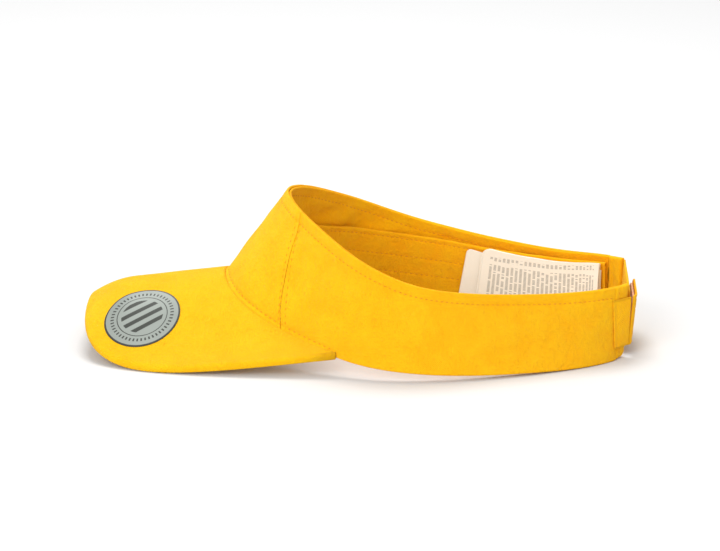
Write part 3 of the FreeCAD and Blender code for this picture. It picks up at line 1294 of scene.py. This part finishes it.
# ---- brim ----------------------------------------------------------------------
@dataclass
class Brim:
    """Cloth covers over the brim's board, and the round sticker."""

    band: BandSurface
    surface: BrimSurface
    cloth: Cloth
    edge_radius: float = 1.75
    sticker_radius: float = 19.0
    sticker_x: float = 31.0
    sticker_y: float = -108.5
    rear_depth: float = 0.5

    def __post_init__(self) -> None:
        """Find the station beside the horns."""
        low, high = 3.0, 6.0
        for _ in range(30):
            middle = (low + high) / 2
            if self.band.lower.at(middle).y < self.surface.horn_y:
                low = middle
            else:
                high = middle
        self.horn = low

    def rear(self, u: float) -> tuple[float, float]:
        """Plan point where the brim meets the band, -1 to 1 across."""
        station = self.horn * u
        foot = self.band.lower.at(station)
        inward = self.band.outward(station, 0.0) * self.rear_depth
        return foot.x - inward.x, foot.y - inward.y

    def build_cover(self, name: str, path: list[tuple[float, float, float]],
                    node: str) -> None:
        """Cover of the brim that runs from the band to its edge.

        Args:
            name: the piece's name.
            path: section as share from the band to the edge, inset there and drop.
            node: the frame node that it stands for.
        """
        count = len(path) - 1
        across = 96

        def spot(u: float, v: float) -> tuple[float, float, float]:
            """Plan point and drop."""
            turn = 2.0 * u - 1.0
            share, inset, drop = path[round(v * count)]
            rear_x, rear_y = self.rear(turn)
            edge_x, edge_y = self.surface.outline(turn, inset)
            near = math.hypot(edge_x - rear_x, edge_y - rear_y)
            x = rear_x + (edge_x - rear_x) * share
            y = rear_y + (edge_y - rear_y) * share
            wave = 0.16 * soft_noise(x / 17, y / 15, 1.3) * min(1.0, near / 8)
            wave *= min(1.0, 4 * share * (1.02 - share) + 0.02)
            crease = 0.9 * roll(share * near, 1.2) if drop < 2 else 0.0
            return x, y, drop + wave + crease

        def place(u: float, v: float) -> Vector:
            """Point of the cover."""
            return self.surface.point(*spot(u, v))

        def flat(u: float, v: float) -> Vector:
            """Place on the flat cloth, measured over the arch."""
            x, y, drop = spot(u, v)
            slope = abs(x) / self.surface.arch
            return Vector((x * (1 + 0.6 * slope), y + drop, 0)) * MM

        mesh = self.cloth.sheet(across, count, place, flat)
        bmesh.ops.reverse_faces(mesh, faces=mesh.faces)
        piece = self.cloth.finish(name, mesh, self.cloth.finishes.brim, "twill",
                                  CLOTH_WALL * MM)
        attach(piece, "front")
        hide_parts(node)

    def build_covers(self) -> None:
        """Top cover, turned down round the edge, and the under cover."""
        total, r = self.surface.thickness, self.edge_radius
        spread = [i / 40 for i in range(41)]
        eased = [0.0, 0.004, 0.010, 0.018] + [0.026 + 0.974 * s for s in spread]
        path = [(s, r, 0.0) for s in eased]
        for i in range(1, 7):
            angle = math.pi / 2 * i / 6
            path.append((1.0, r * (1 - math.sin(angle)), r * (1 - math.cos(angle))))
        path.append((1.0, 0.0, total - 0.9))
        for i in range(1, 5):
            angle = math.pi / 2 * i / 4
            path.append((1.0, 0.8 * (1 - math.cos(angle)), total - 0.8 + 0.8 * math.sin(angle)))
        path += [(1.0, 1.6, total), (1.0, 2.2, total - 0.25), (1.0, 2.6, total - 0.6)]
        self.build_cover("brim_top_twill", path, "brim_top_cover")
        under = [(1.0, 2.2, total - 0.7), (1.0, 2.4, total - 0.3), (1.0, 2.9, total - 0.05)]
        under += [(1.0 - s, 3.2, total) for s in spread]
        self.build_cover("brim_under_twill", under, "brim_under_cover")

    def build_sticker(self) -> None:
        """Round foil sticker on the wearer's left half."""
        slope = (self.surface.fall(self.sticker_x + 1) - self.surface.fall(self.sticker_x - 1)) / 2
        squeeze = 1.0 / math.hypot(1.0, slope)
        radius, low, top = self.sticker_radius, 0.10, 0.42

        def height(r: float, face: float) -> float:
            """Rise over the cover of the upper or the lower face."""
            edge = roll(radius - r, 0.16)
            return top - edge if face > 0 else low

        def place(u: float, v: float, face: float) -> Vector:
            """Point of the disc."""
            angle, r = 2 * math.pi * u, radius * ease_ends(v, 0.1, 0.02)
            x = self.sticker_x + r * math.cos(angle) * squeeze
            y = self.sticker_y + r * math.sin(angle)
            lift = 0.12 * soft_noise(x / 9, y / 9, 5.0) * (r / radius)
            return self.surface.point(x, y, -height(r, face) - abs(lift))

        def flat(u: float, v: float) -> Vector:
            """Place on the foil, from its centre."""
            angle, r = 2 * math.pi * u, radius * ease_ends(v, 0.1, 0.02)
            return Vector((r * math.cos(angle), r * math.sin(angle), 0)) * MM

        mesh = self.cloth.slab(96, 24, place, flat)
        bmesh.ops.recalc_face_normals(mesh, faces=mesh.faces)
        foil = FoilPrint("foil_print", radius * MM).make()
        piece = self.cloth.finish("brim_sticker_foil", mesh, foil, "foil")
        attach(piece, "front")
        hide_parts("brim_sticker")

    def build(self) -> None:
        """Build the brim."""
        self.build_covers()
        self.build_sticker()


# ---- closure --------------------------------------------------------------------
@dataclass(frozen=True)
class TabPlan:
    """Outline of a closure tab or tape: x and z ranges, corner radii, lean."""

    x: tuple[float, float]
    z: tuple[float, float]
    y: tuple[float, float]
    lean: float
    low_x_corner: float = 0.6
    high_x_corner: float = 0.6
    bend: float = 0.0

    def at(self, u: float, v: float) -> tuple[float, float, float]:
        """Place of a point of the unit square.

        Args:
            u: along x.
            v: along z.

        Returns:
            x, z and the distance to the border, in millimetres.
        """
        rise = ease_ends(v, 0.2, 0.06)
        z = self.z[0] + (self.z[1] - self.z[0]) * rise
        edge = min(z - self.z[0], self.z[1] - z)
        left = self.x[0] + roll(edge, self.low_x_corner)
        right = self.x[1] - roll(edge, self.high_x_corner)
        x = left + (right - left) * ease_ends(u, 0.2, 0.06)
        return x, z, min(x - left, right - x, edge)


@dataclass
class Closure:
    """Hook tab from the left arm over the loop tab from the right arm."""

    band: BandSurface
    cloth: Cloth
    hook_cloth: TabPlan = TabPlan((-13.0, 23.6), (5.5, 31.5), (134.5, 135.5), 0.09,
                                  low_x_corner=8.0, bend=1.5)
    hook_tape: TabPlan = TabPlan((-11.0, 17.0), (7.5, 29.5), (133.3, 134.45), 0.09,
                                 low_x_corner=6.0)
    loop_cloth: TabPlan = TabPlan((-24.4, 18.0), (1.0, 36.6), (130.8, 131.8), 0.064,
                                  high_x_corner=4.0)
    loop_tape: TabPlan = TabPlan((-18.5, 16.0), (6.0, 32.0), (131.85, 132.95), 0.064,
                                 high_x_corner=1.5)
    thread_sink: float = 0.1

    def tab(self, name: str, plan: TabPlan, finish: bpy.types.Material, slot: str,
            waves: float) -> bpy.types.Object:
        """Flat tab that leans back as it rises.

        Args:
            name: the piece's name.
            plan: its outline.
            finish: its material.
            slot: not used.
            waves: size of its soft waves in millimetres.

        Returns:
            The piece.
        """
        middle = (plan.y[0] + plan.y[1]) / 2
        half = (plan.y[1] - plan.y[0]) / 2

        def place(u: float, v: float, face: float) -> Vector:
            """Point of the tab's rear or inner face."""
            x, z, border = plan.at(u, v)
            thick = swell(border, half)
            root = max(0.0, (x - (plan.x[1] - 5.0)) / 5.0) if plan.bend else 0.0
            bend = plan.bend * root * root
            stitch = 0.22 * pinch(border - 2.2, 0.9)
            wave = waves * soft_noise(x / 9, z / 8, 6.1) * min(1.0, border / 3)
            y = middle + plan.lean * z + face * (thick - stitch) + wave - bend
            return Vector((x, y + CENTRE_SHIFT, z)) * MM

        def flat(u: float, v: float) -> Vector:
            """Place on the flat cloth."""
            x, z, _ = plan.at(u, v)
            return Vector((x, z, 0)) * MM

        mesh = self.cloth.slab(56, 36, place, flat)
        bmesh.ops.recalc_face_normals(mesh, faces=mesh.faces)
        return self.cloth.finish(name, mesh, finish, slot)

    def border_row(self, plan: TabPlan, inset: float) -> StitchRow:
        """Row of stitches round a tab's rear face, just inside its border.

        Args:
            plan: the tab's outline.
            inset: distance from the border.

        Returns:
            The row.
        """
        x0, x1 = plan.x[0] + inset, plan.x[1] - inset - (4.0 if plan.bend else 0.0)
        z0, z1 = plan.z[0] + inset, plan.z[1] - inset
        r = max(plan.low_x_corner - inset, 0.5)
        arc = [math.pi / 2 * i / 6 for i in range(7)]
        corners = [(x1, z0)]
        corners += [(x0 + r - r * math.sin(a), z0 + r - r * math.cos(a)) for a in arc]
        corners += [(x0 + r - r * math.cos(a), z1 - r + r * math.sin(a)) for a in arc]
        corners += [(x1, z1)]
        lengths = [0.0]
        for a, b in zip(corners, corners[1:]):
            lengths.append(lengths[-1] + math.dist(a, b))

        def line(share: float) -> tuple[Vector, Vector]:
            """Point and normal."""
            want = share * lengths[-1]
            i = min(bisect_right(lengths, want) - 1, len(corners) - 2)
            part = (want - lengths[i]) / (lengths[i + 1] - lengths[i])
            x = corners[i][0] + (corners[i + 1][0] - corners[i][0]) * part
            z = corners[i][1] + (corners[i + 1][1] - corners[i][1]) * part
            y = plan.y[1] + plan.lean * z + CENTRE_SHIFT - self.thread_sink
            return Vector((x, y, z)) * MM, Vector((0, 1, 0))
        return StitchRow(line, lengths[-1])

    def build_root(self) -> None:
        """Sewn root of the hook tab, flat on the left arm's end."""
        first, last = 12.25, self.band.arm_end + 0.02
        wide = self.band.along(last) - self.band.along(first) + 1.0
        low, below_top, thick = 6.0, 6.3, 0.45

        def place(u: float, v: float, face: float) -> Vector:
            """Point of the patch's outer or inner face."""
            share = ease_ends(u, 0.2, 0.06)
            station = first + (last - first) * share
            length = self.band.ruling(station)[2]
            rise = ease_ends(v, 0.2, 0.04)
            height = low + (length - low - below_top) * rise
            border = min(wide * share, wide * (1 - share), height - low,
                         length - below_top - height)
            half = swell(border, thick)
            groove = 0.3 * pinch(wide * share - 2.0, 0.9)
            rise_out = -0.45 - 1.0 * share**3
            return self.band.point(station, height, rise_out - face * (half - groove))

        def flat(u: float, v: float) -> Vector:
            """Place on the flat cloth."""
            return Vector((wide * u, 26 * v, 0)) * MM

        mesh = self.cloth.slab(24, 30, place, flat)
        root = self.cloth.finish("hook_tab_root_patch", mesh, self.cloth.finishes.band, "twill")
        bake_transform(root)
        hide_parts("hook_tab_root")

    def build(self) -> None:
        """Build both tabs and their tapes."""
        finishes = self.cloth.finishes
        self.build_root()
        hook = self.tab("hook_tab_twill", self.hook_cloth, finishes.band, "twill", 0.12)
        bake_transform(hook)
        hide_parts("hook_tab_cloth")
        hooks = self.tab("hook_tape_pile", self.hook_tape, finishes.hooks, "hook_tape", 0.0)
        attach(hooks, "hook_tab")
        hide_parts("hook_tape")
        loop = self.tab("loop_tab_twill", self.loop_cloth, finishes.band, "twill", 0.12)
        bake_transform(loop)
        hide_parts("loop_tab_cloth")
        loops = self.tab("loop_tape_pile", self.loop_tape, finishes.loops, "loop_tape", 0.08)
        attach(loops, "loop_tab")
        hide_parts("loop_tape")
        for name, plan, inset, body in (
                ("hook_tab_stitches", self.hook_cloth, 2.2, "hook_tab"),
                ("loop_tape_stitches", self.loop_tape, 1.3, "loop_tab")):
            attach(self.cloth.sew_rows(name, [self.border_row(plan, inset)]), body)


# ---- care label -----------------------------------------------------------------
@dataclass(frozen=True)
class LabelPage:
    """One page: its frame node, place inside the arm and how it is printed."""

    node: str
    body: str
    depth: float
    end: float
    top: float
    printed: bool
    corner: float
    curl: float


@dataclass
class CareLabel:
    """Satin pages sewn along their rear edge inside the right arm."""

    band: BandSurface
    cloth: Cloth
    root: float = 12.3
    low: float = 3.0
    pages: tuple[LabelPage, ...] = (
        LabelPage("label_page_back", "label_back", 7.4, 7.85, 6.5, False, 3.0, 0.3),
        LabelPage("label_page_middle", "label_middle", 8.6, 8.35, 2.2, False, 6.0, -0.35),
        LabelPage("label_page_front", "label_front", 9.8, 8.4, 1.6, True, 7.0, 0.55))

    def build_page(self, page: LabelPage) -> None:
        """Thin satin page with a rounded fore corner.

        Args:
            page: which page.
        """
        root = self.band.along(self.root)
        wide = root - self.band.along(page.end)
        half = 0.14

        def spot(u: float, v: float) -> tuple[float, float, float, float]:
            """Station, height, place from the fore edge and height share."""
            fore = ease_ends(u, 0.15, 0.04)
            station = page.end + (self.root - page.end) * (1.0 - fore)
            length = self.band.ruling(-station)[2]
            inward = wide * (1.0 - fore)
            top = length - page.top - roll(inward, page.corner)
            top -= 0.5 * soft_noise(inward / 12, 0.3, 2.0)
            rise = ease_ends(v, 0.15, 0.03)
            return -station, self.low + (top - self.low) * rise, inward, rise

        def place(u: float, v: float, face: float) -> Vector:
            """Point of the page's inner or outer face."""
            station, height, inward, rise = spot(u, v)
            border = min(inward, wide - inward, height - self.low,
                         (height - self.low) * (1 - rise) / max(rise, 1e-6))
            length = self.band.ruling(station)[2]
            thick = swell(border, half)
            wave = 0.30 * soft_noise(inward / 16, height / 18, page.depth)
            curl = page.curl * max(0.0, 1 - inward / 9.0) ** 2
            return self.band.point(station, height, page.depth + wave - curl + face * thick)

        def flat(u: float, v: float) -> Vector:
            """Place on the flat ribbon."""
            _, height, inward, _ = spot(u, v)
            return Vector((inward, height, 0)) * MM

        mesh = self.cloth.slab(60, 40, place, flat)
        bmesh.ops.recalc_face_normals(mesh, faces=mesh.faces)
        tall = self.band.ruling(-10.5)[2] - page.top
        satin = PrintedSatin(page.node + "_satin", wide * MM, tall * MM, page.printed).make()
        piece = self.cloth.finish(page.node + "_ribbon", mesh, satin, "satin")
        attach(piece, page.body)
        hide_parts(page.node)

    def build(self) -> None:
        """Build the pages from the band inwards."""
        for page in self.pages:
            self.build_page(page)


# ---- studio ------------------------------------------------------------------
@dataclass(frozen=True)
class Lamp:
    """A square soft light: its place and side in metres, its power in watts."""

    name: str
    place: tuple[float, float, float]
    size: float
    power: float


@dataclass(frozen=True)
class Studio:
    """Plain pale floor, soft light and the camera."""

    eye: tuple[float, float, float] = (1.7458, 0.0515, 0.5415)
    target: tuple[float, float, float] = (-0.0027, -0.0006, 0.0330)
    lens: float = 180.1
    sky: float = 0.86
    floor_size: float = 6.0
    floor_tone: tuple[float, float, float] = (0.66, 0.66, 0.66)
    floor_roughness: float = 0.95
    aim: tuple[float, float, float] = (0.0, 0.0, 0.03)
    lamps: tuple[Lamp, ...] = (
        Lamp("overhead_softbox", (-0.45, -0.1, 1.3), 0.6, 12.0),
        Lamp("side_softbox", (1.7, -0.8, 1.05), 1.2, 26.0))

    def build_floor(self) -> None:
        """Wide pale floor under the visor."""
        mesh = bmesh.new()
        bmesh.ops.create_grid(mesh, x_segments=2, y_segments=2, size=self.floor_size)
        data = bpy.data.meshes.new("studio_floor")
        mesh.to_mesh(data)
        mesh.free()
        n = Nodes("floor_paper")
        data.materials.append(n.dress(self.floor_tone, None, self.floor_roughness))
        floor = bpy.data.objects.new("studio_floor", data)
        bpy.context.scene.collection.objects.link(floor)

    def hang(self, name: str, data: bpy.types.ID, place: tuple[float, float, float],
             target: tuple[float, float, float]) -> bpy.types.Object:
        """Put a lamp or the camera in the scene, turned to a target.

        Args:
            name: the object's name.
            data: the lamp or camera.
            place: where it stands, in metres.
            target: the point it looks at, in metres.

        Returns:
            The object.
        """
        holder = bpy.data.objects.new(name, data)
        bpy.context.scene.collection.objects.link(holder)
        holder.location = place
        sight = Vector(target) - Vector(place)
        holder.rotation_euler = sight.to_track_quat("-Z", "Y").to_euler()
        return holder

    def build_lamps(self) -> None:
        """Soft lights, aimed at the visor."""
        for plan in self.lamps:
            lamp = bpy.data.lights.new(plan.name, "AREA")
            lamp.size, lamp.energy = plan.size, plan.power
            self.hang(plan.name, lamp, plan.place, self.aim)

    def build_camera(self) -> None:
        """Camera to the wearer's left, a little above the band."""
        camera = bpy.data.cameras.new("camera")
        camera.lens, camera.sensor_width = self.lens, 36.0
        camera.clip_start, camera.clip_end = 0.05, 30.0
        bpy.context.scene.camera = self.hang("camera", camera, self.eye, self.target)

    def build(self) -> None:
        """Build the studio."""
        world = bpy.data.worlds.new("soft_sky")
        world.use_nodes = True
        sky = world.node_tree.nodes["Background"]
        sky.inputs["Color"].default_value = (1.0, 1.0, 1.0, 1.0)
        sky.inputs["Strength"].default_value = self.sky
        bpy.context.scene.world = world
        bpy.context.scene.view_settings.view_transform = "Standard"
        self.build_floor()
        self.build_lamps()
        self.build_camera()


@dataclass
class SunVisor:
    """The whole visor."""

    finishes: Finishes = field(default_factory=Finishes)
    band: BandSurface = field(default_factory=BandSurface)

    def dress_hidden(self, name: str, material: bpy.types.Material) -> None:
        """Give one of the frame's hidden sheets its material."""
        sheet = next(o for o in bpy.data.objects if o.get("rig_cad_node") == name)
        for slot in sheet.material_slots:
            slot.material = material
        log.info("%s: dressed", name)

    def build(self) -> None:
        """Build every sub-assembly in order."""
        cloth = Cloth(self.finishes)
        HeadBand(self.band, cloth).build()
        Brim(self.band, BrimSurface(), cloth).build()
        Closure(self.band, cloth).build()
        CareLabel(self.band, cloth).build()
        self.dress_hidden("front_stiffener", self.finishes.buckram)
        self.dress_hidden("brim_board", self.finishes.board)


def main() -> None:
    """Load the frame, build the visor and the studio."""
    logging.basicConfig(level=logging.INFO, format="%(name)s %(message)s")
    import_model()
    Studio().build()
    SunVisor().build()
    bpy.context.view_layer.update()
    log.info("sizes written")


if __name__ == "__main__":
    main()
